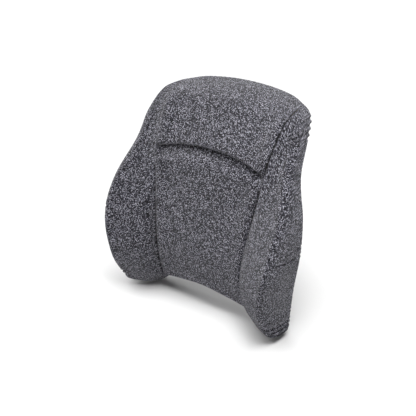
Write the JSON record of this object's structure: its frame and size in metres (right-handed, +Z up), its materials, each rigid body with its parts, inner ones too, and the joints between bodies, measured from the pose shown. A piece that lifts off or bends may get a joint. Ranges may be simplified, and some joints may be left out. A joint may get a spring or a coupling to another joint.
{
  "type": "lumbar support cushion",
  "caption": "Contoured back cushion with a deep lumbar pad under an arched crease and a padded bolster down each side, upholstered in grey tweed over a bent board, made to bolt on.",
  "frame": {"origin": "centre of the four bolt holes, on the back face that a seat bracket bears on", "axes": "+X to the right of someone facing the front of the cushion, +Y out of its back, +Z up; the front, which a person leans on, faces -Y"},
  "size_m": [0.5008, 0.282, 0.5511],
  "materials": {
    "upholstery": "charcoal tweed, woven, matt",
    "foam": "open-cell polyurethane foam, cut",
    "board": "moulded birch plywood, unfinished",
    "dust_cover": "black spun-bonded non-woven",
    "strap": "woven polypropylene strap",
    "wire": "bright drawn wire",
    "tee_nut": "zinc plated",
    "staple_steel": "zinc plated"
  },
  "bodies": {
    "root": {"arch_listing_wire": "wire", "back_board": "board", "base_foam": "foam", "bolster_left_cover": "upholstery", "bolster_left_foam": "foam", "bolster_right_cover": "upholstery", "bolster_right_foam": "foam", "cover_staple_01": "staple_steel", "cover_staple_02": "staple_steel", "cover_staple_03": "staple_steel", "cover_staple_04": "staple_steel", "cover_staple_05": "staple_steel", "cover_staple_06": "staple_steel", "cover_staple_07": "staple_steel", "cover_staple_08": "staple_steel", "cover_staple_09": "staple_steel", "cover_staple_10": "staple_steel", "cover_staple_11": "staple_steel", "cover_staple_12": "staple_steel", "dust_cover": "dust_cover", "dust_cover_staple_01": "staple_steel", "dust_cover_staple_02": "staple_steel", "dust_cover_staple_03": "staple_steel", "dust_cover_staple_04": "staple_steel", "dust_cover_staple_05": "staple_steel", "dust_cover_staple_06": "staple_steel", "dust_cover_staple_07": "staple_steel", "dust_cover_staple_08": "staple_steel", "dust_cover_staple_09": "staple_steel", "dust_cover_staple_10": "staple_steel", "dust_cover_staple_11": "staple_steel", "dust_cover_staple_12": "staple_steel", "dust_cover_staple_13": "staple_steel", "dust_cover_staple_14": "staple_steel", "left_listing_wire": "wire", "lumbar_cover": "upholstery", "lumbar_foam": "foam", "pull_strap_arch_1": "strap", "pull_strap_arch_2": "strap", "pull_strap_arch_3": "strap", "pull_strap_left_1": "strap", "pull_strap_left_2": "strap", "pull_strap_right_1": "strap", "pull_strap_right_2": "strap", "right_listing_wire": "wire", "strap_staple_01": "staple_steel", "strap_staple_02": "staple_steel", "strap_staple_03": "staple_steel", "strap_staple_04": "staple_steel", "strap_staple_05": "staple_steel", "strap_staple_06": "staple_steel", "strap_staple_07": "staple_steel", "tee_nut_1": "tee_nut", "tee_nut_2": "tee_nut", "tee_nut_3": "tee_nut", "tee_nut_4": "tee_nut", "upper_cover": "upholstery", "upper_foam": "foam"}
  },
  "joints": []
}
